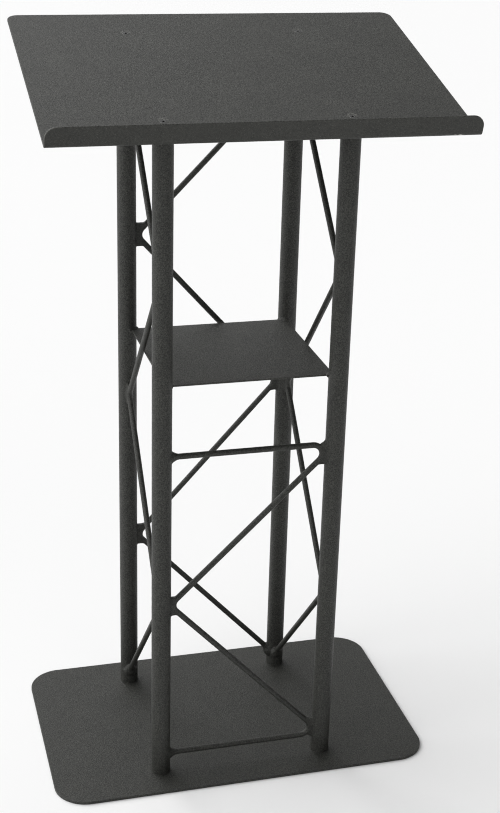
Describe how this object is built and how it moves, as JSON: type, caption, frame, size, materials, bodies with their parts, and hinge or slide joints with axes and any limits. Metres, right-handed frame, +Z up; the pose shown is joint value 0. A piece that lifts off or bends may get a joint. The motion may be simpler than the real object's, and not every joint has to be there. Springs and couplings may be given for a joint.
{
  "type": "presentation lectern",
  "caption": "Free-standing steel truss lectern with a sloped top panel and ledge, a middle shelf and a flat floor plate.",
  "frame": {"origin": "centre of the floor plate's underside, on the floor", "axes": "+Z up; the reader stands on the -Y side, facing +Y; +X to the reader's right"},
  "size_m": [0.652, 0.4353, 1.2215],
  "materials": {
    "frame_coat": "fine-textured charcoal-black powder coat, matt",
    "panel_coat": "fine-textured charcoal-black powder coat, matt, with a speckled grain",
    "weld_coat": "powder coat over rippled weld metal",
    "bare_steel": "turned steel, hidden inside the tubes",
    "screw_black": "black oxide, satin"
  },
  "bodies": {
    "root": {"base_plate": "frame_coat", "upright_front_left": "frame_coat", "upright_front_right": "frame_coat", "upright_rear_left": "frame_coat", "upright_rear_right": "frame_coat", "base_plug_front_left": "bare_steel", "base_plug_front_right": "bare_steel", "base_plug_rear_left": "bare_steel", "base_plug_rear_right": "bare_steel", "top_plug_front_left": "bare_steel", "top_plug_front_right": "bare_steel", "top_plug_rear_left": "bare_steel", "top_plug_rear_right": "bare_steel", "base_screws": "screw_black", "panel_screws": "screw_black", "top_panel": "panel_coat", "shelf_plate": "panel_coat", "rear_truss_rod": "frame_coat", "left_truss_rod": "frame_coat", "right_truss_rod": "frame_coat", "front_truss_rod": "frame_coat", "rear_rod_welds": "weld_coat", "left_rod_welds": "weld_coat", "right_rod_welds": "weld_coat", "front_rod_welds": "weld_coat", "shelf_welds": "weld_coat"}
  },
  "joints": []
}
